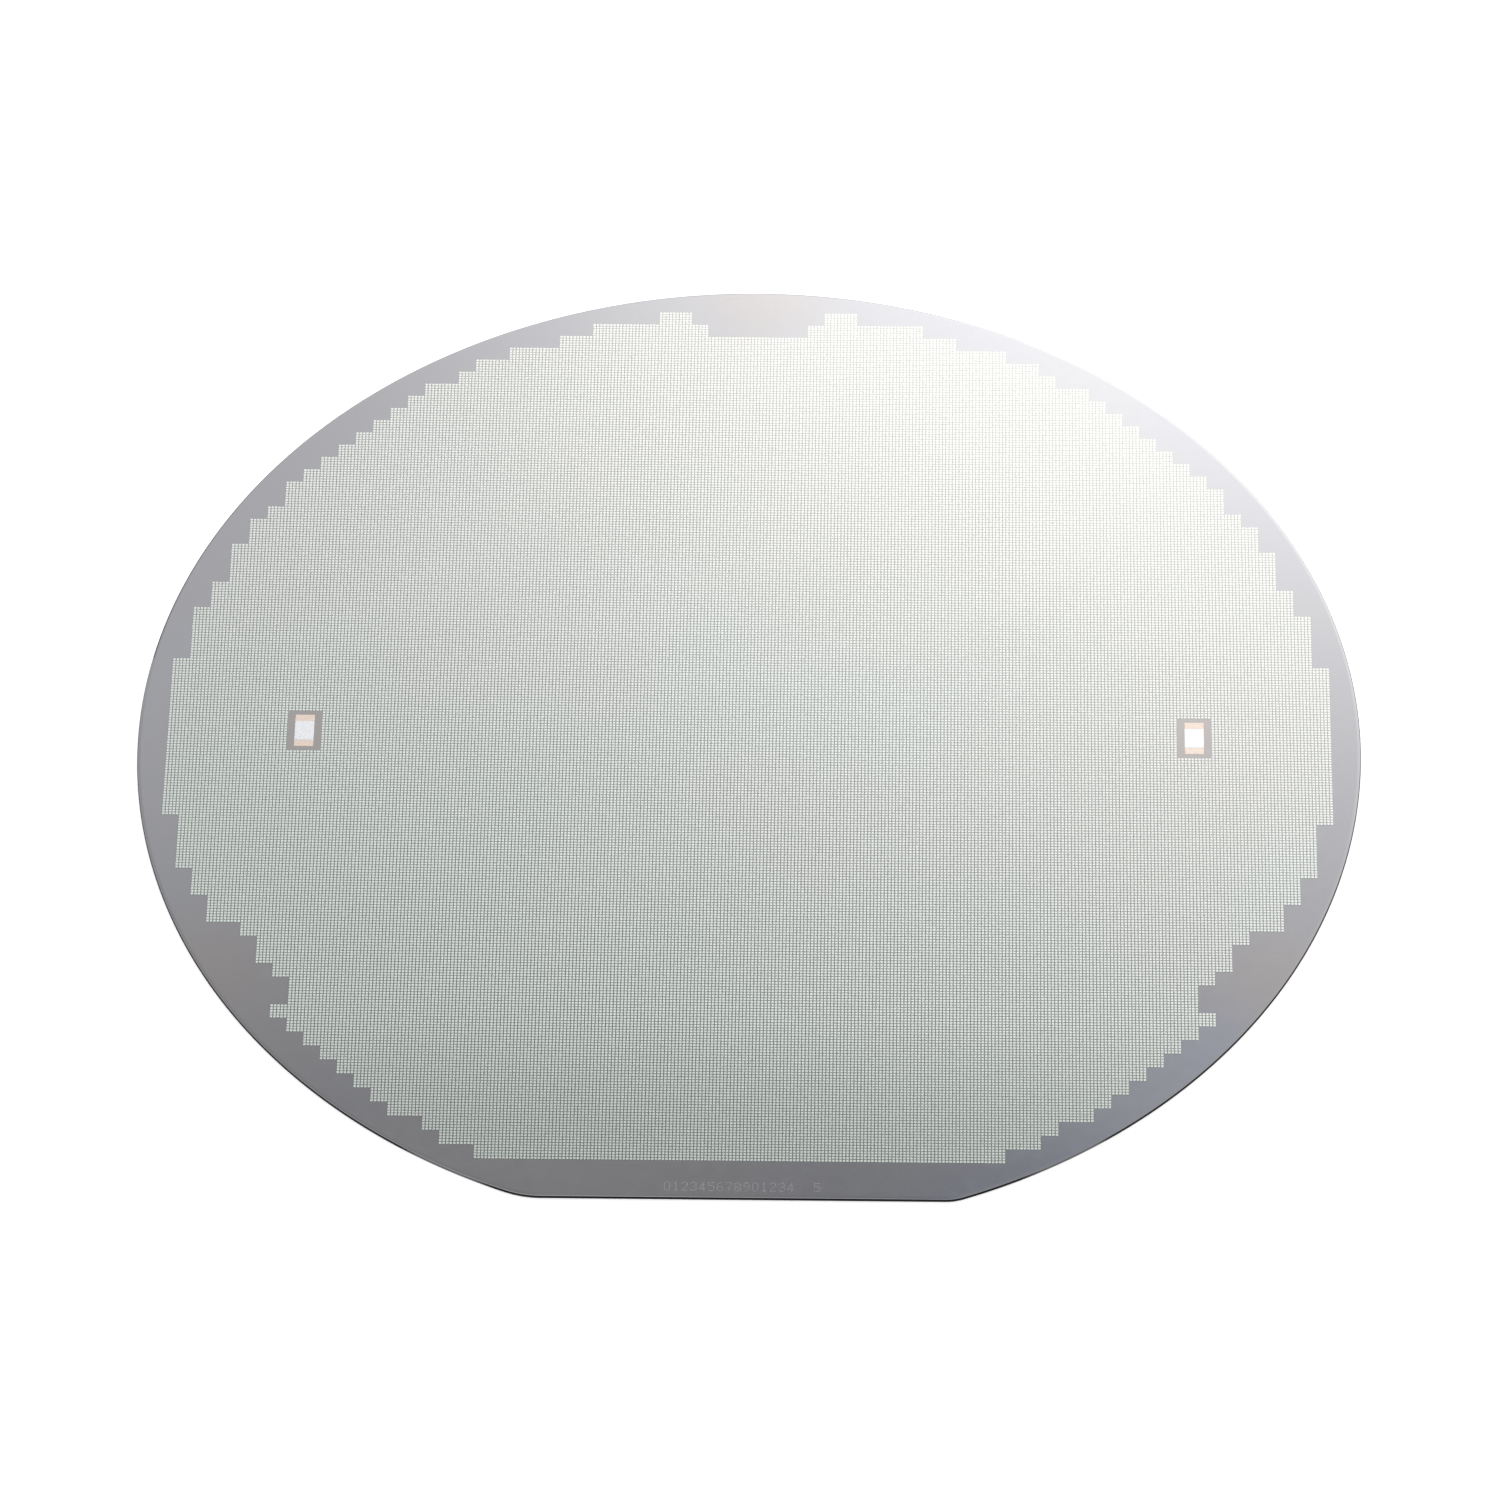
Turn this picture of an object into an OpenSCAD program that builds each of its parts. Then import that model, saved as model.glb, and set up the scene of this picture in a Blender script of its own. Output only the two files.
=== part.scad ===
// Patterned silicon wafer: a ground and polished disc of single-crystal silicon with one primary
// flat, whose front face carries a field of small square dies. The dies are printed in square
// blocks, so the field ends in steps, and two blocks' width is left out on each side for a test
// site. The three clamps that hold the disc while it is coated, 120 degrees apart, leave a notch and
// two runs of shortened rows. It is one piece: the films are grown on the silicon for good.
// The origin is the disc's centre on the back face. +Z points out of the patterned front, and the
// flat faces -Y. Lengths are in millimetres and angles in degrees.

/* [Silicon disc] */
// Diameter of the disc
wafer_d = 125; // [110:1:150]
// Thickness of the silicon
wafer_t = 0.625; // [0.55:0.005:0.8]

/* [Primary flat] */
// Length of the flat between the sharp corners that it would have
flat_len = 42.5; // [35:0.5:50]
// Radius that eases the flat's left end
flat_left_r = 10; // [3:0.5:15]
// Radius that eases the flat's right end
flat_right_r = 5; // [3:0.5:15]
// Angle that an eased end leaves where it meets the flat and the round edge
flat_end_angle = 3; // [1:0.5:5]

/* [Ground edge] */
// Radius of the rounded nose in section
nose_r = 0.25; // [0.15:0.01:0.28]
// Slope of the two bevels that run from the faces to the nose
bevel_angle = 22; // [15:1:30]

/* [Die field] */
// Pitch of the dies, the same both ways
die_pitch = 0.35; // [0.3:0.01:0.5]
// Dies along one side of a printed block
block_dies = 5; // [2:1:10]
// Width of the clear ring between the last whole block and the disc's edge
edge_clear = 2.07; // [1.5:0.01:4]
// Depth of the clear strip along the flat, where a laser mark goes
mark_strip = 4.5; // [3:0.1:8]
// Height of the film that carries the dies
film_t = 0.01; // [0.005:0.001:0.05]

/* [Clamp opposite the flat, in blocks] */
// Rows that the clamp's notch cuts into
notch_rows = 2; // [1:1:3]
// Half width of the notch in its innermost row
notch_half = 3; // [1:1:5]

/* [Clamps beside the flat, in blocks] */
// Rows between the centre line and the first row that a clamp shortens, towards the flat
clamp_first = 14; // [10:1:18]
// Rows that a clamp shortens
clamp_rows = 6; // [2:1:8]
// Blocks left out at each end of a shortened row
clamp_short = 2; // [1:1:4]

/* [Test sites] */
// Blocks between the centre line and a test site, sideways
site_column = 25; // [20:1:28]
// Blocks across a test site
site_columns = 2; // [2:1:4]
// Block row where a test site starts, counted from the centre line away from the flat
site_row = -1; // [-3:1:2]
// Block rows in a test site
site_rows = 3; // [3:1:5]
// Width of the clear frame on the left and right of the test plate
site_frame_x = 0.77; // [0.4:0.01:1.2]
// Width of the clear frame above and below the test plate
site_frame_y = 0.53; // [0.3:0.01:1.2]
// Height of each thin band at the plate's two ends, seen from the front
band_h = 0.84; // [0.4:0.01:1]
// Thickness of the metal on the middle of the plate and on the dies
metal_t = 0.01; // [0.005:0.001:0.05]

/* [Hidden] */
$fa = 2;
$fs = 0.2;

wafer_r = wafer_d / 2;
flat_dist = sqrt(wafer_r^2 - (flat_len / 2)^2);
bevel_w = nose_r * (1 - sin(bevel_angle))
        + (wafer_t / 2 - nose_r * cos(bevel_angle)) / tan(bevel_angle);
nose_steps = 8;
past = 1; // how far a cutter reaches past what it cuts

block = die_pitch * block_dies;
usable_r = wafer_r - edge_clear;
rows_up = floor(usable_r / block);
rows_down = floor((flat_dist - mark_strip) / block);
film_root = wafer_t / 2; // films are drawn from inside the silicon, so that they are one with it

// Section of the disc from x = from out to its nose at x = reach: two faces, two bevels, a nose.
module edge_section(reach, from = 0) {
    nose_sweep = 180 - 2 * bevel_angle;
    nose = [for (i = [0 : nose_steps])
        let (a = nose_sweep * (i / nose_steps - 0.5))
        [reach - nose_r + nose_r * cos(a), wafer_t / 2 + nose_r * sin(a)]];
    polygon(concat(
        [[from, 0], [reach - bevel_w, 0]],
        nose,
        [[reach - bevel_w, wafer_t], [from, wafer_t]]));
}

// What the grinding wheel takes off one end of the flat. side is -1 for the left end, 1 for the
// right. The arc's centre is where its circle meets both edges at flat_end_angle.
module flat_end_cut(side, r) {
    centre_r = sqrt(wafer_r^2 + r^2 - 2 * wafer_r * r * cos(flat_end_angle));
    centre_y = r * cos(flat_end_angle) - flat_dist;
    centre_x = side * sqrt(centre_r^2 - centre_y^2);
    corner = [side * flat_len / 2 - centre_x, -flat_dist - centre_y];
    across = [corner.y, -corner.x] / norm(corner) * r / 2;
    translate([centre_x, centre_y, 0])
        difference() {
            translate([0, 0, -past])
                linear_extrude(wafer_t + 2 * past)
                    polygon([corner / 2 - across, corner / 2 + across,
                             corner * 1.5 + across, corner * 1.5 - across]);
            rotate_extrude() edge_section(r);
        }
}

// The bare disc, with its edge ground round all the way and its flat on the -Y side.
module silicon_disc() {
    color("slategray")
        difference() {
            intersection() {
                rotate_extrude() edge_section(wafer_r);
                rotate([90, 0, -90])
                    linear_extrude(wafer_d + 2 * past, center = true)
                        edge_section(flat_dist, -wafer_d);
            }
            flat_end_cut(-1, flat_left_r);
            flat_end_cut(1, flat_right_r);
        }
}

// Blocks that fit on each side of the centre line in a row whose far edge is far_row blocks away
function blocks_in(far_row) = floor(sqrt(usable_r^2 - (far_row * block)^2) / block);

// Half width of one row. Row 0 is the first above the centre line, and row -1 the first below it.
function row_half(row) =
    let (far_row = max(row + 1, -row),
         shortened = -row > clamp_first && -row <= clamp_first + clamp_rows)
    block * (blocks_in(far_row) - (shortened ? clamp_short : 0));

// Outline of the die field: up the right side row by row, and down the left
module field_outline() {
    rows = [-rows_down : rows_up - 1];
    right = [for (row = rows, edge = [0, 1]) [row_half(row), (row + edge) * block]];
    left = [for (i = [len(right) - 1 : -1 : 0]) [-right[i].x, right[i].y]];
    polygon(concat(right, left));
}

// The notch opposite the flat, one block wider on each side in every row further out
module clamp_notch() {
    for (i = [0 : notch_rows - 1])
        translate([-(notch_half + i) * block, (rows_up - notch_rows + i) * block])
            square([2 * (notch_half + i) * block, block + past]);
}

// Places its children at the corner of each test site that is nearest the flat and furthest left
module at_test_sites() {
    for (column = [-site_column - site_columns, site_column])
        translate([column * block, site_row * block])
            children();
}

// Outline of one test plate, less trim at its top and bottom
module test_plate(trim = 0) {
    translate([site_frame_x, site_frame_y + trim])
        square([site_columns * block - 2 * site_frame_x,
                site_rows * block - 2 * (site_frame_y + trim)]);
}

// The film that carries the dies, with a bare window for each test site
module die_field() {
    color("silver")
        translate([0, 0, film_root])
            linear_extrude(wafer_t - film_root + film_t)
                difference() {
                    field_outline();
                    clamp_notch();
                    at_test_sites() square([site_columns * block, site_rows * block]);
                }
}

// The test plates: thin bands at the two ends, and thicker metal between them
module test_sites() {
    color("peachpuff")
        translate([0, 0, film_root])
            linear_extrude(wafer_t - film_root + film_t)
                at_test_sites() test_plate();
    color("ghostwhite")
        translate([0, 0, film_root])
            linear_extrude(wafer_t - film_root + film_t + metal_t)
                at_test_sites() test_plate(band_h);
}

module wafer() {
    silicon_disc();
    die_field();
    test_sites();
}

wafer();
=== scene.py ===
"""Visual model of a patterned silicon wafer: the polished disc with its ground edge and primary flat,
the film that carries the dies, every die's metal pad, two test plates and a dot mark of digits."""

import math

import bpy
import numpy as np
from bpy.props import FloatProperty, FloatVectorProperty, IntProperty, PointerProperty, StringProperty
from mathutils import Matrix, Vector


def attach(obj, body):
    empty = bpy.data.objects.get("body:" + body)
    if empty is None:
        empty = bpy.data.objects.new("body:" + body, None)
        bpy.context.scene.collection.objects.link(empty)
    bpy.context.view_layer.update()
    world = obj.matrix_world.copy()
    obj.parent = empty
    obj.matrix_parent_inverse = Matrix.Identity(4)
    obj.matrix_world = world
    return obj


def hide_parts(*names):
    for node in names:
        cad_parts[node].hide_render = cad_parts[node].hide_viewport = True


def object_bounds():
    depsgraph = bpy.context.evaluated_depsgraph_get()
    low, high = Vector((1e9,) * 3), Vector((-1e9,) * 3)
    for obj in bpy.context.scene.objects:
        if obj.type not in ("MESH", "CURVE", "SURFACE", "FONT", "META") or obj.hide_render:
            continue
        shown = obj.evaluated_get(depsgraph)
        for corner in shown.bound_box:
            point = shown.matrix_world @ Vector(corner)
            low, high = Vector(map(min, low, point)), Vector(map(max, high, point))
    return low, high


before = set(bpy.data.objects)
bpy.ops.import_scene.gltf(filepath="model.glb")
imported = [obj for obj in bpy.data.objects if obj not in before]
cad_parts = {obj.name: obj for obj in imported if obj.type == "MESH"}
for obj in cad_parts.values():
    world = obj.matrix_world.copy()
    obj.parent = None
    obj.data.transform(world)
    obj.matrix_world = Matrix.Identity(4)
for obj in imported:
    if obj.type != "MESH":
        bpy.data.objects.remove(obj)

bl_info = {
    "name": "Patterned silicon wafer",
    "version": (1, 0, 0),
    "blender": (4, 5, 0),
    "location": "View3D > Sidebar > Wafer",
    "description": "Builds a patterned silicon wafer, its dies, test plates and mark, and a studio stage",
    "category": "Add Mesh",
}

NODE, BODY = "wafer", "root"
CAD_LOW, CAD_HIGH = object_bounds()
MM = 0.001
DISC_SPAN = CAD_HIGH.x - CAD_LOW.x
FLAT_DISTANCE = -CAD_LOW.y

# The camera: where it stands, what it looks at, how far it is turned about its own line of sight in degrees,
# how high it stands over the floor in degrees, and how wide its sensor is in millimetres
CAMERA_PLACE = Vector((0.01593, -0.63884, 0.75607))
CAMERA_TARGET = Vector((0.00014561, -0.00122049, 0.000645))
CAMERA_ROLL, VIEW_HEIGHT, SENSOR_WIDTH = -0.561, 49.8, 36.0

# The glow that the wafer mirrors into the camera: how wide it is sideways and upwards, its terms as share,
# power of side and power of rise, how steeply they turn from dim to bright, and its colour at each end
GLOW_SIDE, GLOW_RISE = 0.12, 0.10
GLOW_TERMS = (
    (-1.059, 0, 0),
    (1.45, 1, 0),
    (-3.595, 0, 1),
    (-0.948, 1, 1),
    (-2.2, 3, 0),
    (6.6, 1, 2),
    (4.902, 2, 1),
    (-1.634, 0, 3),
)
GLOW_STEEPNESS = 0.5
GLOW_COOL, GLOW_WARM = (0.985, 0.99, 1.0), (1.0, 0.995, 0.972)

# The fill round the glow: how far to a side it takes to turn, and between which two heights what comes from
# the right drops to this share of itself, from behind the wafer to in front of it
FILL_SIDE = 0.2
FILL_RISE, FILL_IN_FRONT = (-0.45, 0.6), 0.45

# How closely a direction agrees with the middle of the glow where the fill takes over from the glow, and
# where the walls take over from the fill
GLOW_REACH, FILL_REACH = (0.954, 0.995), (0.3, 0.62)

# Directions over the disc, and the one in which the coatings grow thicker and the die film's painted sheen
# brighter
RIGHTWARD, FLATWARD, LOWER_RIGHT = (1.0, 0.0, 0.0), (0.0, -1.0, 0.0), (0.643, -0.766, 0.0)
COATING_AND_SHEEN_UPHILL = (0.42, 0.9075, 0.0)

# Factors for red, green and blue that tint a finish
PLAIN_TINT, COOL_TINT = (1.0, 1.0, 1.0), (0.985, 1.0, 1.025)
# Along the flat, the left factor is a painted highlight that brightens the silicon, the right one a painted
# shade that darkens it and makes it bluer
FLAT_LEFT_HIGHLIGHT_TINT, FLAT_RIGHT_SHADE_TINT = (1.085, 1.08, 1.07), (0.87, 0.885, 0.915)
THIN_OXIDE_TINT = (0.965, 0.99, 1.06)
METAL_LOW_TINT, METAL_HIGH_TINT = (0.9625, 1.022, 1.007), (1.0375, 0.978, 1.003)

# Where the front's tint changes, in metres from the centre: the radius that the bare windows lie within, the
# stretch along the flat, from its painted highlight on the left to its painted shade on the right, the one
# towards it and the one to the lower right. Then a clamp's shade's strength
WINDOWS_WITHIN = (0.049, 0.051)
ALONG_FLAT, BY_FLAT, THIN_OXIDE = (-0.02, 0.02), (0.046, 0.056), (0.0535, 0.0605)
CLAMP_STRENGTH = 0.8

# Where the metal is painted darker to the right and towards the flat as a painted shade, how strong the
# second is beside the first, and how much its grain darkens it
PAINTED_SHADE_RIGHT, PAINTED_SHADE_BY_FLAT, PAINTED_SHADE_SHARE = (-0.05, 0.05), (0.036, 0.05), 0.8
GRAIN_SHADE = 0.1

# A street's saw line: the shares of a die's pitch that it is full within and gone beyond, and its strength
SAW_LINE, SAW_STRENGTH = (0.03, 0.06), 0.4

# What is kept of a noise, whose values hardly leave this range
NOISE_RANGE = (0.3, 0.7)

# Bands of the nose under the upper bevel that are polished with the front. They run round the side that this
# direction points to, as far as the edge faces it by at least this much
SHOULDER_BANDS = 2
SHOULDER_SIDE, SHOULDER_LEAST = Vector((0.45, -0.9)), -0.6

# The two stretches of the nose beside the flat that are painted a lighter grey in place of the painted dark
# reflection: the direction that they lie in, how far out they start and end, and their colour
LIGHTER_NOSE_AXIS = (0.032, -0.9995, 0.0)
LIGHTER_NOSE_START, LIGHTER_NOSE_END = (0.0515, 0.053), (0.0555, 0.057)
LIGHTER_NOSE_COLOUR = (0.12, 0.12, 0.125)

# Dot patterns of the digits, nine rows of five from top to bottom; # is a laser dot
DIGITS = {
    "0": ".###. #...# #...# #...# #...# #...# #...# #...# .###.",
    "1": "..#.. .##.. ..#.. ..#.. ..#.. ..#.. ..#.. ..#.. .###.",
    "2": ".###. #...# ....# ....# ...#. ..#.. .#... #.... #####",
    "3": ".###. #...# ....# ....# ..##. ....# ....# #...# .###.",
    "4": "...#. ..##. ..##. .#.#. .#.#. #..#. ##### ...#. ...#.",
    "5": "##### #.... #.... ####. ....# ....# ....# #...# .###.",
    "6": "..##. .#... #.... #.... ####. #...# #...# #...# .###.",
    "7": "##### ....# ....# ...#. ...#. ..#.. ..#.. ..#.. ..#..",
    "8": ".###. #...# #...# #...# .###. #...# #...# #...# .###.",
    "9": ".###. #...# #...# #...# .#### ....# ....# ...#. .##..",
}


def length(name, description, millimetres, **limits):
    """A length in metres, given its default in millimetres."""
    return FloatProperty(
        name=name, description=description, default=millimetres * MM, unit="LENGTH", precision=6, **limits
    )


def colour(name, description, value):
    """A linear colour."""
    return FloatVectorProperty(
        name=name, description=description, default=value, subtype="COLOR", size=3, min=0.0, max=1.0
    )


def whole(name, description, value, **limits):
    """A whole number."""
    return IntProperty(name=name, description=description, default=value, **limits)


def strength(name, description, value):
    """How strong a light is or leans, from 0 up."""
    return FloatProperty(name=name, description=description, default=value, min=0.0)


# ---------------------------------------------------------------------------------------------
# Sizes and colours that a user would change


class WaferDiscSettings(bpy.types.PropertyGroup):
    """Sizes of the silicon disc."""

    diameter: length("Diameter", "Diameter of the disc", DISC_SPAN / MM)
    thickness: length("Thickness", "Thickness of the silicon under the films", 0.625)
    flat_distance: length("Flat distance", "From the centre to the primary flat", FLAT_DISTANCE / MM)
    flat_left_round: length("Left round", "Radius at the flat's left end", 10)
    flat_right_round: length("Right round", "Radius at the flat's right end", 5)
    nose_radius: length("Nose radius", "Radius of the ground edge in section", 0.25)
    bevel_angle: FloatProperty(
        name="Bevel angle",
        description="Slope of the ground bevels between the faces and the nose",
        default=math.radians(22),
        unit="ROTATION",
    )
    rim_steps: whole("Rim steps", "Straight steps that a full round edge is drawn with", 720, min=90)
    nose_steps: whole("Nose steps", "Steps round the nose in section", 14, min=4)


class WaferFieldSettings(bpy.types.PropertyGroup):
    """Sizes of the die field."""

    die_pitch: length("Die pitch", "Pitch of the dies, the same both ways", 0.35)
    block_dies: whole("Dies a block", "Dies along a side of a printed block", 5, min=1)
    edge_clear: length("Clear ring", "Clear ring between the last whole block and the disc's edge", 2.07)
    mark_strip: length("Mark strip", "Clear strip along the flat, where the mark goes", 4.5)
    film_height: length("Film height", "Height of the film over the silicon", 0.01)
    notch_rows: whole("Notch rows", "Rows that the notch opposite the flat cuts into", 2)
    notch_half: whole("Notch half width", "Half the notch's inner row, in blocks", 3)
    clamp_first: whole("First short row", "Rows between the centre line and the first shortened row", 14)
    clamp_rows: whole("Short rows", "Rows that are shortened for the clamps", 6)
    clamp_short: whole("Blocks left out", "Blocks left out at each end of a short row", 2)
    pad_side: length("Pad side", "Side of a die's metal pad at its top", 0.246)
    pad_foot: length("Pad foot", "How much wider a pad is at its foot, on each side", 0.006)
    pad_height: length("Pad height", "Height of a pad over the film", 0.01)
    pads_per_piece: whole("Pads per piece", "Most pads that go in one mesh", 19800, min=1000)


class WaferTestSettings(bpy.types.PropertyGroup):
    """Sizes of the two test sites, counted in blocks and lengths."""

    column: whole("Column", "Blocks between the centre line and a site", 25)
    columns: whole("Columns", "Blocks across a site", 2)
    row: whole("Row", "Block row where a site starts", -1)
    rows: whole("Rows", "Block rows in a site", 3)
    frame_x: length("Side frame", "Bare silicon to the left and right of the plate", 0.77)
    frame_y: length("End frame", "Bare silicon above and below the plate", 0.53)
    band_height: length("Band height", "Height of each thin band at the plate's ends", 0.84)
    metal_height: length("Metal height", "Height of the middle over the bands", 0.01)
    ease: length("Edge ease", "Width of the eased edge round each plate", 0.02)


class WaferMarkSettings(bpy.types.PropertyGroup):
    """Text and sizes of the laser-dot mark beside the flat."""

    text: StringProperty(
        name="Digits",
        description="Digits that the mark shows; a space leaves a gap",
        default="012345678901234  5",
    )
    first_x: length("First digit", "Centre of the first digit, sideways", -7.05)
    centre_y: length("Row centre", "Centre of the row of digits, towards the flat", -57.45)
    digit_pitch: length("Digit pitch", "From one digit to the next", 0.868)
    dot_pitch: length("Dot pitch", "From one laser dot to the next in a digit", 0.125)
    dot_radius: length("Dot radius", "Radius of a laser dot", 0.058)
    dot_height: length("Dot height", "Height of the melted rim round a dot", 0.004)
    dot_sides: whole("Dot sides", "Sides that a dot is drawn with", 12, min=6)


class WaferFinishSettings(bpy.types.PropertyGroup):
    """Colours of the finishes."""

    silicon: colour("Polished silicon", "Mirror colour of the polished front", (0.364, 0.361, 0.375))
    clamp_tint: colour("Clamp tint", "Mirror colour where a clamp shaded the coating", (0.374, 0.356, 0.357))
    window_tint: colour("Window tint", "Mirror colour of the bare windows", (0.390, 0.368, 0.364))
    etched: colour("Etched back", "Mirror colour of the etched back", (0.27, 0.272, 0.28))
    # The ground nose's own darker colour, deepened to near black as a painted dark reflection
    edge: colour("Ground edge", "Colour of the ground nose", (0.004, 0.004, 0.005))
    # The film's colour at its brightest, a painted sheen away from the flat
    street_painted_sheen: colour(
        "Thick die film",
        "Mirror colour of the film where it is thickest, opposite the flat",
        (0.425, 0.425, 0.407),
    )
    street: colour("Die film", "Mirror colour of the film between the dies", (0.281, 0.300, 0.288))
    pad: colour("Die metal", "Colour of the dies' metal pads", (0.769, 0.792, 0.765))
    band: colour("Test band", "Colour of the thin bands on the test plates", (0.745, 0.62, 0.54))
    plate: colour("Test metal", "Colour of the test plates' middle", (0.775, 0.785, 0.83))
    dot: colour("Laser dot", "Colour of a laser dot", (0.30, 0.30, 0.31))


class WaferStageSettings(bpy.types.PropertyGroup):
    """Floor, light and camera."""

    floor_size: length("Floor size", "Side of the floor", 12000)
    floor_colour: colour("Floor", "Colour of the floor", (0.94, 0.94, 0.94))
    floor_glow: strength("Floor glow", "Strength of the light table under the floor paper", 0.6)
    backdrop_light: strength("Backdrop light", "Strength of the glow where it is brightest", 3.61)
    room_light: strength("Room light", "Strength of the glow where it has faded", 0.333)
    fill_light: strength("Fill light", "Strength of the soft fill round the glow", 0.98)
    fill_right: strength("Fill to the right", "How much more fill comes from the right", 0.44)
    fill_back: strength("Fill to the back", "How fast the fill grows towards the back", 0.913)
    wall_light: strength("Wall light", "Strength of the walls behind the camera and beside it", 1.0)
    lens: FloatProperty(name="Lens", description="Focal length in millimetres", default=232.383, min=10.0)


class WaferSettings(bpy.types.PropertyGroup):
    """Everything a user would change."""

    disc: PointerProperty(type=WaferDiscSettings)
    field: PointerProperty(type=WaferFieldSettings)
    test: PointerProperty(type=WaferTestSettings)
    mark: PointerProperty(type=WaferMarkSettings)
    finish: PointerProperty(type=WaferFinishSettings)
    stage: PointerProperty(type=WaferStageSettings)


# ---------------------------------------------------------------------------------------------
# Shader helpers


def add(tree, kind, **values):
    """Adds a node to the tree. Values set its attributes, and its inputs where a name has a capital first."""
    made = tree.nodes.new(kind)
    for key, value in values.items():
        if key[0].isupper():
            made.inputs[key.replace("_", " ")].default_value = value
        else:
            setattr(made, key, value)
    return made


def math_node(tree, operation, first, second=None, third=None):
    """A math node fed by sockets or numbers; returns its output."""
    made = add(tree, "ShaderNodeMath", operation=operation)
    for socket, source in zip(made.inputs, (first, second, third)):
        feed(tree, socket, source)
    return made.outputs[0]


def feed(tree, socket, source):
    """Links a socket to an input, or sets the input's number or colour."""
    if isinstance(source, bpy.types.NodeSocket):
        tree.links.new(source, socket)
    elif source is not None:
        socket.default_value = source


def blend_colours(tree, factor, first, second, mode="MIX"):
    """Mixes two colours by a factor, or multiplies them; returns the colour."""
    made = add(tree, "ShaderNodeMix", data_type="RGBA", blend_type=mode)
    feed(tree, made.inputs["Factor"], factor)
    feed(tree, made.inputs[6], first)
    feed(tree, made.inputs[7], second)
    return made.outputs[2]


def blend_values(tree, factor, first, second):
    """Mixes two numbers by a factor; returns the number."""
    made = add(tree, "ShaderNodeMix", data_type="FLOAT")
    feed(tree, made.inputs["Factor"], factor)
    feed(tree, made.inputs[2], first)
    feed(tree, made.inputs[3], second)
    return made.outputs[0]


def spread(tree, value, low, high, to_low, to_high, smooth=False):
    """Maps a value from one range to another; returns it."""
    made = add(tree, "ShaderNodeMapRange", interpolation_type="SMOOTHSTEP" if smooth else "LINEAR")
    for socket, source in zip(made.inputs, (value, low, high, to_low, to_high)):
        feed(tree, socket, source)
    return made.outputs[0]


def along(tree, vector, axis):
    """How far a vector reaches along an axis."""
    made = add(tree, "ShaderNodeVectorMath", operation="DOT_PRODUCT")
    feed(tree, made.inputs[0], vector)
    made.inputs[1].default_value = axis
    return made.outputs["Value"]


def bend(tree, value, width):
    """Bends a value softly towards -1 and 1, which it nears at twice the width; returns it."""
    return math_node(tree, "TANH", math_node(tree, "DIVIDE", value, width))


def ramp(tree, place, axis, span):
    """Rises smoothly from 0 to 1 over a span along an axis; returns it."""
    return spread(tree, along(tree, place, axis), *span, 0.0, 1.0, smooth=True)


def opaque(value):
    """A colour with its alpha."""
    return (*value, 1.0)


def tints(value, *shifts):
    """A colour in as many tints as there are shifts, each a factor for red, green and blue."""
    return [opaque([channel * factor for channel, factor in zip(value, shift)]) for shift in shifts]


def new_group(name, inputs, outputs):
    """A shader node group with float, vector or colour sockets, and its two end nodes."""
    tree = bpy.data.node_groups.new(name, "ShaderNodeTree")
    kinds = {"value": "NodeSocketFloat", "vector": "NodeSocketVector", "colour": "NodeSocketColor"}
    for socket_name, kind, default in inputs:
        socket = tree.interface.new_socket(socket_name, in_out="INPUT", socket_type=kinds[kind])
        if default is not None:
            socket.default_value = default
    for socket_name, kind in outputs:
        tree.interface.new_socket(socket_name, in_out="OUTPUT", socket_type=kinds[kind])
    return tree, tree.nodes.new("NodeGroupInput"), tree.nodes.new("NodeGroupOutput")


def group(tree, name, **values):
    """Places a node group in a material, with its own values."""
    made = tree.nodes.new("ShaderNodeGroup")
    made.node_tree = bpy.data.node_groups[name]
    for key, value in values.items():
        feed(tree, made.inputs[key.replace("_", " ")], value)
    return made


def make_cloud_group():
    """Slow change of a coating's thickness: a cloudy drift mixed with a tilt over the disc, from 0 to 1. On
    the die film the tilt carries a painted sheen.
    """
    tree, given, result = new_group(
        "Coating drift",
        [
            ("Place", "vector", None),
            ("Size", "value", 0.03),
            ("Tilt", "value", 0.0),
            ("Tilt start", "value", -0.05),
            ("Tilt end", "value", 0.05),
        ],
        [("Drift", "value")],
    )
    scaled = add(tree, "ShaderNodeVectorMath", operation="DIVIDE")
    feed(tree, scaled.inputs[0], given.outputs["Place"])
    feed(tree, scaled.inputs[1], given.outputs["Size"])
    noise = add(tree, "ShaderNodeTexNoise", Scale=1.0, Detail=2.0, Roughness=0.45)
    feed(tree, noise.inputs["Vector"], scaled.outputs[0])
    cloud = spread(tree, noise.outputs["Fac"], *NOISE_RANGE, 0.0, 1.0, smooth=True)
    uphill = along(tree, given.outputs["Place"], COATING_AND_SHEEN_UPHILL)
    slope = spread(tree, uphill, given.outputs["Tilt start"], given.outputs["Tilt end"], 0.0, 1.0)
    feed(tree, result.inputs["Drift"], blend_values(tree, given.outputs["Tilt"], cloud, slope))


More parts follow.
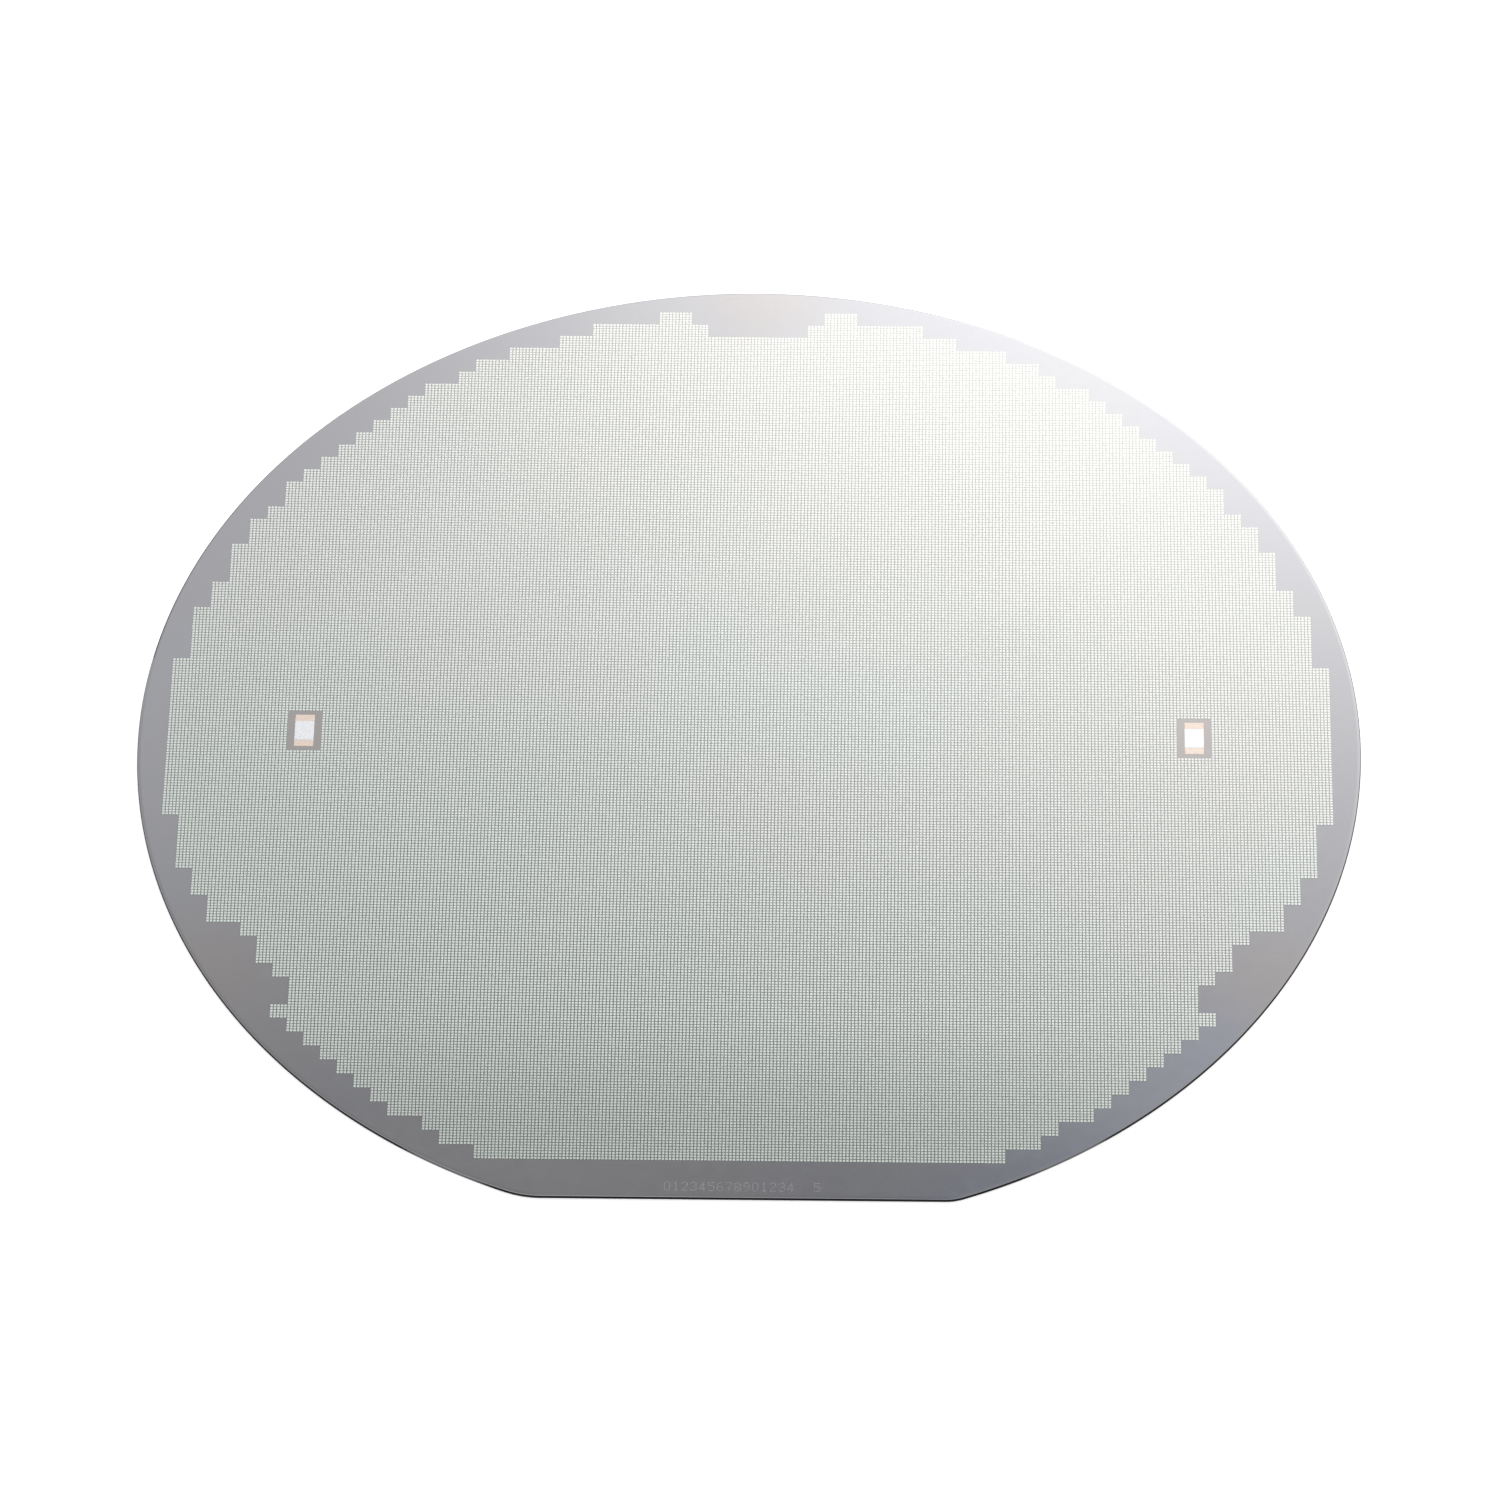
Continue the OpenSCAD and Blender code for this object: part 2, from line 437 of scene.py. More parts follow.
def make_grain_group():
    """Fine grain of a deposited or etched surface, from 0 to 1, with its height."""
    tree, given, result = new_group(
        "Fine grain",
        [("Place", "vector", None), ("Size", "value", 0.00005)],
        [("Grain", "value"), ("Height", "value")],
    )
    scaled = add(tree, "ShaderNodeVectorMath", operation="DIVIDE")
    feed(tree, scaled.inputs[0], given.outputs["Place"])
    feed(tree, scaled.inputs[1], given.outputs["Size"])
    coarse = add(tree, "ShaderNodeTexNoise", Scale=0.35, Detail=2.0, Roughness=0.6)
    fine = add(tree, "ShaderNodeTexNoise", Scale=1.0, Detail=1.0, Roughness=0.5)
    for noise in (coarse, fine):
        feed(tree, noise.inputs["Vector"], scaled.outputs[0])
    feed(tree, result.inputs["Grain"], spread(tree, coarse.outputs["Fac"], *NOISE_RANGE, 0.0, 1.0))
    feed(tree, result.inputs["Height"], fine.outputs["Fac"])


def make_clamp_group():
    """Shade of the three clamp fingers that held the disc while it was coated, 120 degrees apart."""
    tree, given, result = new_group(
        "Clamp shade",
        [("Place", "vector", None), ("Ring radius", "value", 0.062), ("Reach", "value", 0.010)],
        [("Mask", "value")],
    )
    mask = None
    for degrees in (90, 210, 330):
        angle = math.radians(degrees)
        finger = add(tree, "ShaderNodeVectorMath", operation="SCALE")
        finger.inputs[0].default_value = (math.cos(angle), math.sin(angle), 0.0)
        feed(tree, finger.inputs["Scale"], given.outputs["Ring radius"])
        gap = add(tree, "ShaderNodeVectorMath", operation="DISTANCE")
        feed(tree, gap.inputs[0], given.outputs["Place"])
        feed(tree, gap.inputs[1], finger.outputs[0])
        near = math_node(tree, "DIVIDE", gap.outputs["Value"], given.outputs["Reach"])
        shade = spread(tree, near, 0.25, 1.0, 1.0, 0.0, smooth=True)
        mask = shade if mask is None else math_node(tree, "MAXIMUM", mask, shade)
    feed(tree, result.inputs["Mask"], mask)


def new_material(name):
    """A material with its tree, its shader and its own place coordinates."""
    made = bpy.data.materials.new(name)
    made.use_nodes = True
    tree = made.node_tree
    shader = tree.nodes["Principled BSDF"]
    place = add(tree, "ShaderNodeTexCoord").outputs["Object"]
    return made, tree, shader, place


def relief(tree, shader, height, distance, strength):
    """Gives the shader a bump from a height."""
    bump = add(tree, "ShaderNodeBump", Strength=strength, Distance=distance)
    feed(tree, bump.inputs["Height"], height)
    feed(tree, shader.inputs["Normal"], bump.outputs["Normal"])


def rough_by_grain(tree, shader, grain, low, high):
    """Varies the shader's roughness between two values with the grain."""
    feed(tree, shader.inputs["Roughness"], spread(tree, grain.outputs["Grain"], 0.0, 1.0, low, high))


def polished_silicon(finish):
    """Mirror-polished silicon, tinted by the coating's drift, a painted highlight at the left end of the
    strip along the flat and a painted shade with a bluer tint at its right end, the thinner oxide to the
    lower right, the clamps' shade and the bare windows."""
    made, tree, shader, place = new_material("Polished silicon")
    shader.inputs["Metallic"].default_value = 1.0
    drift = group(tree, "Coating drift", Place=place, Size=0.028).outputs["Drift"]
    clamp = group(tree, "Clamp shade", Place=place).outputs["Mask"]
    across = add(tree, "ShaderNodeVectorMath", operation="MULTIPLY")
    feed(tree, across.inputs[0], place)
    across.inputs[1].default_value = (1.0, 1.0, 0.0)
    radius = add(tree, "ShaderNodeVectorMath", operation="LENGTH")
    feed(tree, radius.inputs[0], across.outputs[0])
    window = spread(tree, radius.outputs["Value"], *WINDOWS_WITHIN, 1.0, 0.0)
    base = blend_colours(tree, drift, *tints(finish.silicon, PLAIN_TINT, COOL_TINT))
    # The strip along the flat is painted: lighter at its left end as a painted highlight, darker and bluer at
    # its right end as a painted shade
    flat_highlight_and_shade = tints(finish.silicon, FLAT_LEFT_HIGHLIGHT_TINT, FLAT_RIGHT_SHADE_TINT)
    strip = blend_colours(tree, ramp(tree, place, RIGHTWARD, ALONG_FLAT), *flat_highlight_and_shade)
    # From here this colour carries the painted highlight and shade along the flat as well as the oxide's tint
    oxide = blend_colours(tree, ramp(tree, place, FLATWARD, BY_FLAT), base, strip)
    thin = ramp(tree, place, LOWER_RIGHT, THIN_OXIDE)
    oxide = blend_colours(tree, thin, oxide, opaque(THIN_OXIDE_TINT), "MULTIPLY")
    shade = math_node(tree, "MULTIPLY", clamp, CLAMP_STRENGTH)
    shaded = blend_colours(tree, shade, oxide, opaque(finish.clamp_tint))
    feed(tree, shader.inputs["Base Color"], blend_colours(tree, window, shaded, opaque(finish.window_tint)))
    rough_by_grain(tree, shader, group(tree, "Fine grain", Place=place, Size=0.0004), 0.05, 0.08)
    return made


def etched_silicon(finish):
    """The back face: acid-etched silicon, satin, with soft shallow dimples."""
    made, tree, shader, place = new_material("Etched silicon")
    shader.inputs["Metallic"].default_value = 1.0
    drift = group(tree, "Coating drift", Place=place, Size=0.02).outputs["Drift"]
    grain = group(tree, "Fine grain", Place=place, Size=0.00018)
    darker = opaque([channel * 0.82 for channel in finish.etched])
    cloudy = math_node(tree, "MULTIPLY", drift, 0.4)
    mixed = math_node(tree, "MULTIPLY_ADD", grain.outputs["Grain"], 0.6, cloudy)
    feed(tree, shader.inputs["Base Color"], blend_colours(tree, mixed, darker, opaque(finish.etched)))
    rough_by_grain(tree, shader, grain, 0.36, 0.46)
    relief(tree, shader, grain.outputs["Height"], 0.00002, 0.35)
    return made


def ground_edge(finish):
    """The nose: silicon ground by a diamond wheel, satin, with fine grinding lines round the rim. Its
    near-black colour is partly its own and partly a painted dark reflection, which gives way to a lighter
    grey beside each end of the flat."""
    made, tree, shader, place = new_material("Ground edge")
    shader.inputs["Specular IOR Level"].default_value = 0.1
    parts = add(tree, "ShaderNodeSeparateXYZ")
    feed(tree, parts.inputs[0], place)
    lines = add(tree, "ShaderNodeTexNoise", noise_dimensions="1D", Scale=60000.0, Detail=2.0)
    feed(tree, lines.inputs["W"], parts.outputs["Z"])
    grain = group(tree, "Fine grain", Place=place, Size=0.00012)
    mixed = math_node(tree, "MULTIPLY", lines.outputs["Fac"], grain.outputs["Grain"])
    # The nose's colour is partly its own and partly a painted dark reflection
    lighter = opaque([channel * 2.2 for channel in finish.edge])
    base = blend_colours(tree, mixed, opaque(finish.edge), lighter)
    # Beside each end of the flat the painted dark reflection gives way to a lighter grey
    reach = along(tree, place, LIGHTER_NOSE_AXIS)
    started = spread(tree, reach, *LIGHTER_NOSE_START, 0.0, 1.0, smooth=True)
    lighter_nose = spread(tree, reach, *LIGHTER_NOSE_END, started, 0.0, smooth=True)
    feed(tree, shader.inputs["Base Color"], blend_colours(tree, lighter_nose, base, opaque(LIGHTER_NOSE_COLOUR)))
    rough_by_grain(tree, shader, grain, 0.2, 0.28)
    relief(tree, shader, lines.outputs["Fac"], 0.000004, 0.3)
    return made


def die_film(finish, field):
    """The film between the dies: glossy grey-green oxide, with a faint saw line down each street and a
    painted sheen that brightens it away from the flat.
    """
    made, tree, shader, place = new_material("Die film")
    shader.inputs["Metallic"].default_value = 1.0
    parts = add(tree, "ShaderNodeSeparateXYZ")
    feed(tree, parts.inputs[0], place)
    full, gone = (field.die_pitch * share for share in SAW_LINE)
    lines = None
    for axis in ("X", "Y"):
        cell = math_node(tree, "PINGPONG", parts.outputs[axis], field.die_pitch / 2)
        line = spread(tree, cell, full, gone, 1.0, 0.0)
        lines = line if lines is None else math_node(tree, "MAXIMUM", lines, line)
    # The drift's tilt carries the painted sheen, from the film's colour to its brighter painted-sheen colour
    film = {"Place": place, "Size": 0.035, "Tilt": 0.85, "Tilt_start": -0.012, "Tilt_end": 0.06}
    drift = group(tree, "Coating drift", **film).outputs["Drift"]
    base = blend_colours(tree, drift, opaque(finish.street), opaque(finish.street_painted_sheen))
    sawn = opaque([channel * 0.8 for channel in finish.street])
    cut = math_node(tree, "MULTIPLY", lines, SAW_STRENGTH)
    feed(tree, shader.inputs["Base Color"], blend_colours(tree, cut, base, sawn))
    rough_by_grain(tree, shader, group(tree, "Fine grain", Place=place, Size=0.00006), 0.07, 0.11)
    return made


def sputtered_metal(name, colour_value, grain_size, roughness, low_tint, high_tint, tilt, painted_shade=0.0):
    """Sputtered metal: bright and satin, with a fine grain, a slow change of its tint over the disc, and a
    painted shade that darkens it to the right and towards the flat."""
    made, tree, shader, place = new_material(name)
    shader.inputs["Metallic"].default_value = 1.0
    drift = group(tree, "Coating drift", Place=place, Size=0.03, Tilt=tilt).outputs["Drift"]
    grain = group(tree, "Fine grain", Place=place, Size=grain_size)
    base = blend_colours(tree, drift, *tints(colour_value, low_tint, high_tint))
    # Painted shade: the metal is painted darker to the right and towards the flat
    shade_to_right = spread(tree, along(tree, place, RIGHTWARD), *PAINTED_SHADE_RIGHT, 0.0, painted_shade)
    shade_by_flat = spread(tree, along(tree, place, FLATWARD), *PAINTED_SHADE_BY_FLAT, 0.0, painted_shade)
    painted_shading = math_node(tree, "MULTIPLY_ADD", shade_by_flat, PAINTED_SHADE_SHARE, shade_to_right)
    grain_and_painted_shade = math_node(tree, "MULTIPLY_ADD", grain.outputs["Grain"], GRAIN_SHADE, painted_shading)
    feed(tree, shader.inputs["Base Color"], blend_colours(tree, grain_and_painted_shade, base, opaque((0.0, 0.0, 0.0))))
    rough_by_grain(tree, shader, grain, *roughness)
    relief(tree, shader, grain.outputs["Height"], grain_size * 0.15, 0.2)
    return made


# ---------------------------------------------------------------------------------------------
# Shapes


def new_piece(name, points, faces, materials, slots=None, smooth=None):
    """A mesh piece of the wafer, on its body, with its materials."""
    mesh = bpy.data.meshes.new(name)
    mesh.from_pydata(points, [], faces)
    for material in materials:
        mesh.materials.append(material)
    if slots is not None:
        mesh.polygons.foreach_set("material_index", slots)
    mesh.polygons.foreach_set("use_smooth", [smooth is not None] * len(mesh.polygons))
    if smooth is not None:
        mesh.set_sharp_from_angle(angle=smooth)
    mesh.validate()
    mesh.update()
    piece = bpy.data.objects.new(name, mesh)
    bpy.context.scene.collection.objects.link(piece)
    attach(piece, BODY)
    return piece


def disc_outline(disc):
    """Points round the disc's widest line, with the direction out of the edge at each."""
    radius = disc.diameter / 2
    step = math.tau / disc.rim_steps
    ends = {}
    for side, round_radius in ((-1, disc.flat_left_round), (1, disc.flat_right_round)):
        centre_y = round_radius - disc.flat_distance
        centre_x = side * math.sqrt((radius - round_radius) ** 2 - centre_y**2)
        ends[side] = (Vector((centre_x, centre_y)), round_radius, math.atan2(centre_y, centre_x))
    down = -math.pi / 2
    right_centre, right_round, right_meet = ends[1]
    left_centre, left_round, left_meet = ends[-1]
    left_meet += math.tau
    arcs = (
        (right_centre, right_round, down, right_meet),
        (Vector((0.0, 0.0)), radius, right_meet, left_meet),
        (left_centre, left_round, left_meet, down + math.tau),
    )
    outline = []
    for centre, arc_radius, start, stop in arcs:
        fineness = 1.0 if arc_radius == radius else 0.5
        count = max(6, round((stop - start) / step * fineness))
        for i in range(count):
            angle = start + (stop - start) * i / count
            out = Vector((math.cos(angle), math.sin(angle)))
            outline.append((centre + out * arc_radius, out))
    out = Vector((0.0, -1.0))
    outline.append((left_centre + out * left_round, out))
    flat_steps = 24
    flat_start, flat_stop = outline[-1][0], outline[0][0]
    for i in range(1, flat_steps):
        outline.append((flat_start.lerp(flat_stop, i / flat_steps), out))
    return outline


def edge_profile(disc):
    """From the back face's edge to the front's: how far in from the outline, and how high."""
    slope = disc.bevel_angle
    rise = disc.thickness / 2 - disc.nose_radius * math.cos(slope)
    bevel = disc.nose_radius * (1 - math.sin(slope)) + rise / math.tan(slope)
    sweep = math.pi - 2 * slope
    profile = [(bevel, 0.0)]
    for i in range(disc.nose_steps + 1):
        angle = sweep * (i / disc.nose_steps - 0.5)
        inset = disc.nose_radius * (1 - math.cos(angle))
        profile.append((inset, disc.thickness / 2 + disc.nose_radius * math.sin(angle)))
    profile.append((bevel, disc.thickness))
    return profile


def disc_mesh(disc):
    """Points, faces and finishes of the silicon disc: 0 polished front, 1 ground edge, 2 etched back."""
    outline, profile = disc_outline(disc), edge_profile(disc)
    polished, ground, etched = 0, 1, 2
    upper_bevel = len(profile) - 2
    inner_shares = (0.985, 0.94, 0.8, 0.5, 0.2)
    bevel = profile[0][0]
    rings = [[(p - out * bevel) * share for p, out in outline] for share in reversed(inner_shares)]
    rings = [[Vector((*p, 0.0)) for p in ring] for ring in rings]
    finishes = [etched] * len(rings)
    shoulder = range(len(rings) + upper_bevel - SHOULDER_BANDS, len(rings) + upper_bevel)
    for index, (inset, height) in enumerate(profile):
        rings.append([Vector((*(p - out * inset), height)) for p, out in outline])
        finishes.append(polished if index >= upper_bevel else ground)
    for share in inner_shares:
        rings.append([Vector((*((p - out * bevel) * share), disc.thickness)) for p, out in outline])
        finishes.append(polished)
    count = len(outline)
    points = [point for ring in rings for point in ring]
    faces, slots = [], []
    for low in range(len(rings) - 1):
        for i in range(count):
            j = (i + 1) % count
            under, over = low * count, (low + 1) * count
            faces.append((under + i, under + j, over + j, over + i))
            bright = low in shoulder and outline[i][1].dot(SHOULDER_SIDE) > SHOULDER_LEAST
            slots.append(polished if bright else finishes[low])
    for ring, height, finish in ((0, 0.0, etched), (len(rings) - 1, disc.thickness, polished)):
        middle = len(points)
        points.append(Vector((0.0, 0.0, height)))
        for i in range(count):
            j = (i + 1) % count
            corners = (ring * count + i, ring * count + j, middle)
            faces.append(corners if ring else corners[::-1])
            slots.append(finish)
    return points, faces, slots


def blocks_present(disc, field, test):
    """Lower left corner of every printed block, counted in blocks from the centre."""
    block = field.die_pitch * field.block_dies
    usable = disc.diameter / 2 - field.edge_clear
    rows_up = math.floor(usable / block)
    rows_down = math.floor((disc.flat_distance - field.mark_strip) / block)
    present = []
    for row in range(-rows_down, rows_up):
        far = max(row + 1, -row) * block
        half = math.floor(math.sqrt(usable**2 - far**2) / block)
        if field.clamp_first < -row <= field.clamp_first + field.clamp_rows:
            half -= field.clamp_short
        notch_step = row - (rows_up - field.notch_rows)
        notch = field.notch_half + notch_step if notch_step >= 0 else 0
        for column in range(-half, half):
            away = max(column, -column - 1)
            in_site = test.column <= away < test.column + test.columns
            if away >= notch and not (in_site and test.row <= row < test.row + test.rows):
                present.append((column, row))
    return present


def film_mesh(blocks, block, low, high):
    """Closed slab over the blocks, with a wall wherever a block has no neighbour."""
    present = set(blocks)
    index, points, faces = {}, [], []

    def corner(column, row, height):
        key = (column, row, height)
        if key not in index:
            index[key] = len(points)
            points.append((column * block, row * block, height))
        return index[key]

    for column, row in blocks:
        round_block = ((column, row), (column + 1, row), (column + 1, row + 1), (column, row + 1))
        faces.append([corner(*c, high) for c in round_block])
        faces.append([corner(*c, low) for c in reversed(round_block)])
        neighbours = ((column, row - 1), (column + 1, row), (column, row + 1), (column - 1, row))
        for side, neighbour in enumerate(neighbours):
            if neighbour not in present:
                a, b = round_block[side], round_block[(side + 1) % 4]
                faces.append([corner(*a, low), corner(*b, low), corner(*b, high), corner(*a, high)])
    return points, faces


def pad_mesh(centres, field, low, high):
    """Raised square pads with sloping sides, one on each die centre."""
    corners = np.array([(-1.0, -1.0), (1.0, -1.0), (1.0, 1.0), (-1.0, 1.0)])
    top_half = field.pad_side / 2
    foot_half = top_half + field.pad_foot
    pad = np.concatenate(
        [
            np.column_stack([corners * foot_half, np.full(4, low)]),
            np.column_stack([corners * top_half, np.full(4, high)]),
        ]
    )
    flat = np.column_stack([centres, np.zeros(len(centres))])
    points = (flat[:, None, :] + pad[None, :, :]).reshape(-1, 3)
    sides = np.array([(4, 5, 6, 7), (0, 1, 5, 4), (1, 2, 6, 5), (2, 3, 7, 6), (3, 0, 4, 7)])
    faces = (np.arange(len(centres))[:, None, None] * len(pad) + sides[None, :, :]).reshape(-1, 4)
    return points, faces


def eased_plates(boxes, ease, low, high):
    """Flat plates whose top edges slope in by the ease; each box is left, bottom, right, top."""
    points, faces = [], []
    drop = ease * 0.25
    for left, bottom, right, top in boxes:
        start = len(points)
        for inset, height in ((0.0, low), (0.0, high - drop), (ease, high)):
            points += [
                (left + inset, bottom + inset, height),
                (right - inset, bottom + inset, height),
                (right - inset, top - inset, height),
                (left + inset, top - inset, height),
            ]
        for ring in (0, 4):
            for i in range(4):
                j = (i + 1) % 4
                under, over = start + ring, start + ring + 4
                faces.append([under + i, under + j, over + j, over + i])
        faces.append([start + 8 + i for i in range(4)])
        faces.append([start + i for i in (3, 2, 1, 0)])
    return points, faces


def dot_places(mark):
    """Centres of the laser dots of the mark's digits."""
    places = []
    for position, letter in enumerate(mark.text):
        if letter == " ":
            continue
        rows = DIGITS[letter].split()
        middle_x = mark.first_x + position * mark.digit_pitch
        for down, row in enumerate(rows):
            for across, dot in enumerate(row):
                if dot == "#":
                    x = middle_x + (across - (len(row) - 1) / 2) * mark.dot_pitch
                    y = mark.centre_y + ((len(rows) - 1) / 2 - down) * mark.dot_pitch
                    places.append((x, y))
    return places


def dot_mesh(places, mark, floor):
    """Melted laser dots: a low rounded rim round a shallow dimple. Each ring is a share of the dot's radius
    and of its height."""
    ring_shape = ((1.0, -0.3), (0.9, 0.55), (0.72, 1.0), (0.5, 0.7), (0.26, 0.25))
    points, faces = [], []
    sides = mark.dot_sides
    for x, y in places:
        start = len(points)
        for share, rise in ring_shape:
            for i in range(sides):
                angle = math.tau * i / sides
                reach, height = mark.dot_radius * share, floor + rise * mark.dot_height
                points.append((x + reach * math.cos(angle), y + reach * math.sin(angle), height))
        for ring in range(len(ring_shape) - 1):
            for i in range(sides):
                j = (i + 1) % sides
                low = start + ring * sides
                faces.append([low + i, low + j, low + sides + j, low + sides + i])
        inner = start + (len(ring_shape) - 1) * sides
        faces.append([inner + i for i in range(sides)])
        faces.append([start + i for i in reversed(range(sides))])
    return points, faces


# ---------------------------------------------------------------------------------------------
# Operators


class WAFER_OT_groups(bpy.types.Operator):
    """Builds the effects that the finishes share"""

    bl_idname = "wafer.groups"
    bl_label = "Shared effects"

    def execute(self, context):
        make_cloud_group()
        make_grain_group()
        make_clamp_group()
        return {"FINISHED"}


class WAFER_OT_disc(bpy.types.Operator):
    """Builds the silicon disc with its ground edge and primary flat"""

    bl_idname = "wafer.disc"
    bl_label = "Silicon disc"

    def execute(self, context):
        settings = context.scene.wafer
        points, faces, slots = disc_mesh(settings.disc)
        materials = [
            polished_silicon(settings.finish),
            ground_edge(settings.finish),
            etched_silicon(settings.finish),
        ]
        piece = new_piece("silicon_disc", points, faces, materials, slots, math.radians(15))
        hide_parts(NODE)
        return {"FINISHED"}


class WAFER_OT_film(bpy.types.Operator):
    """Builds the film that carries the dies"""

    bl_idname = "wafer.film"
    bl_label = "Die film"

    def execute(self, context):
        settings = context.scene.wafer
        disc, field = settings.disc, settings.field
        blocks = blocks_present(disc, field, settings.test)
        block = field.die_pitch * field.block_dies
        low = disc.thickness - field.film_height / 2
        points, faces = film_mesh(blocks, block, low, disc.thickness + field.film_height)
        new_piece("die_film", points, faces, [die_film(settings.finish, field)])
        return {"FINISHED"}


class WAFER_OT_pads(bpy.types.Operator):
    """Builds the metal pad of every die"""

    bl_idname = "wafer.pads"
    bl_label = "Die pads"

    def execute(self, context):
        settings = context.scene.wafer
        disc, field, finish = settings.disc, settings.field, settings.finish
        # The die metal carries the painted shade to the right and towards the flat
        metal = sputtered_metal(
            "Die metal", finish.pad, 0.00003, (0.19, 0.25), METAL_LOW_TINT, METAL_HIGH_TINT, 0.75, painted_shade=0.145
        )
        film_top = disc.thickness + field.film_height
        sunk = field.film_height / 10
        low, high = film_top - sunk, film_top + field.pad_height
        dies = field.block_dies
        places = (np.arange(dies) + 0.5) * field.die_pitch
        in_block = np.array([(x, y) for y in places for x in places])
        blocks = blocks_present(disc, field, settings.test)
        rows = sorted({row for _, row in blocks})
        bands, held = [[]], 0
        for row in rows:
            in_row = [block for block in blocks if block[1] == row]
            if held + len(in_row) * dies**2 > field.pads_per_piece:
                bands.append([])
                held = 0
            bands[-1] += in_row
            held += len(in_row) * dies**2
        for number, band in enumerate(bands, 1):
            corners = np.array(band, float) * field.die_pitch * dies
            centres = (corners[:, None, :] + in_block[None, :, :]).reshape(-1, 2)
            points, faces = pad_mesh(centres, field, low, high)
            new_piece(f"die_pads_{number}", points, faces, [metal])
        return {"FINISHED"}


class WAFER_OT_test_plates(bpy.types.Operator):
    """Builds the two test plates: thin bands at both ends, thicker metal between them"""

    bl_idname = "wafer.test_plates"
    bl_label = "Test plates"

    def execute(self, context):
        settings = context.scene.wafer
        disc, field, test, finish = settings.disc, settings.field, settings.test, settings.finish
        block = field.die_pitch * field.block_dies
        bands, middles = [], []
        for column in (-test.column - test.columns, test.column):
            left = column * block + test.frame_x
            right = (column + test.columns) * block - test.frame_x
            bottom = test.row * block + test.frame_y
            top = (test.row + test.rows) * block - test.frame_y
            bands.append((left, bottom, right, bottom + test.band_height))
            bands.append((left, top - test.band_height, right, top))
            middles.append((left, bottom + test.band_height, right, top - test.band_height))
        low = disc.thickness - field.film_height / 2
        band_top = disc.thickness + field.film_height
        grain_size, roughness = 0.00006, (0.3, 0.38)
        band_metal = sputtered_metal(
            "Test band", finish.band, grain_size, roughness, PLAIN_TINT, (1.0, 1.02, 1.04), 0.5
        )
        plate_metal = sputtered_metal(
            "Test metal", finish.plate, grain_size, roughness, PLAIN_TINT, (1.02, 1.02, 1.0), 0.5
        )
        points, faces = eased_plates(bands, test.ease, low, band_top)
        new_piece("test_bands", points, faces, [band_metal])
        points, faces = eased_plates(middles, test.ease, low, band_top + test.metal_height)
        new_piece("test_metal", points, faces, [plate_metal])
        return {"FINISHED"}


class WAFER_OT_mark(bpy.types.Operator):
    """Builds the row of laser-dot digits beside the flat"""

    bl_idname = "wafer.mark"
    bl_label = "Laser mark"

    def execute(self, context):
        settings = context.scene.wafer
        points, faces = dot_mesh(dot_places(settings.mark), settings.mark, settings.disc.thickness)
        melted = sputtered_metal(
            "Laser dot", settings.finish.dot, 0.00003, (0.42, 0.5), PLAIN_TINT, (0.97, 0.97, 1.0), 0.0
        )
        new_piece("laser_mark", points, faces, [melted], smooth=math.radians(50))
        return {"FINISHED"}


class WAFER_OT_stage(bpy.types.Operator):
    """Builds the pale floor, the soft studio light and the camera"""

    bl_idname = "wafer.stage"
    bl_label = "Stage"

    def execute(self, context):
        scene, stage = context.scene, context.scene.wafer.stage
        make_floor(stage)
        make_room(scene, stage)
        make_camera(scene, stage)
        scene.view_settings.view_transform = "Standard"
        return {"FINISHED"}


def make_floor(stage):
    """A wide pale floor just under the wafer."""
    half, drop = stage.floor_size / 2, 0.00002
    mesh = bpy.data.meshes.new("floor")
    corners = [(-half, -half, -drop), (half, -half, -drop), (half, half, -drop), (-half, half, -drop)]
    mesh.from_pydata(corners, [], [(0, 1, 2, 3)])
    made, tree, shader, place = new_material("Floor paper")
    noise = add(tree, "ShaderNodeTexNoise", Scale=900.0, Detail=2.0)
    feed(tree, noise.inputs["Vector"], place)
    lighter = opaque([min(1.0, channel * 1.02) for channel in stage.floor_colour])
    tone = blend_colours(tree, noise.outputs["Fac"], opaque(stage.floor_colour), lighter)
    feed(tree, shader.inputs["Base Color"], tone)
    shader.inputs["Roughness"].default_value = 0.9
    shader.inputs["Specular IOR Level"].default_value = 0.1
    feed(tree, shader.inputs["Emission Color"], tone)
    shader.inputs["Emission Strength"].default_value = stage.floor_glow
    mesh.materials.append(made)
    floor = bpy.data.objects.new("floor", mesh)
    bpy.context.scene.collection.objects.link(floor)


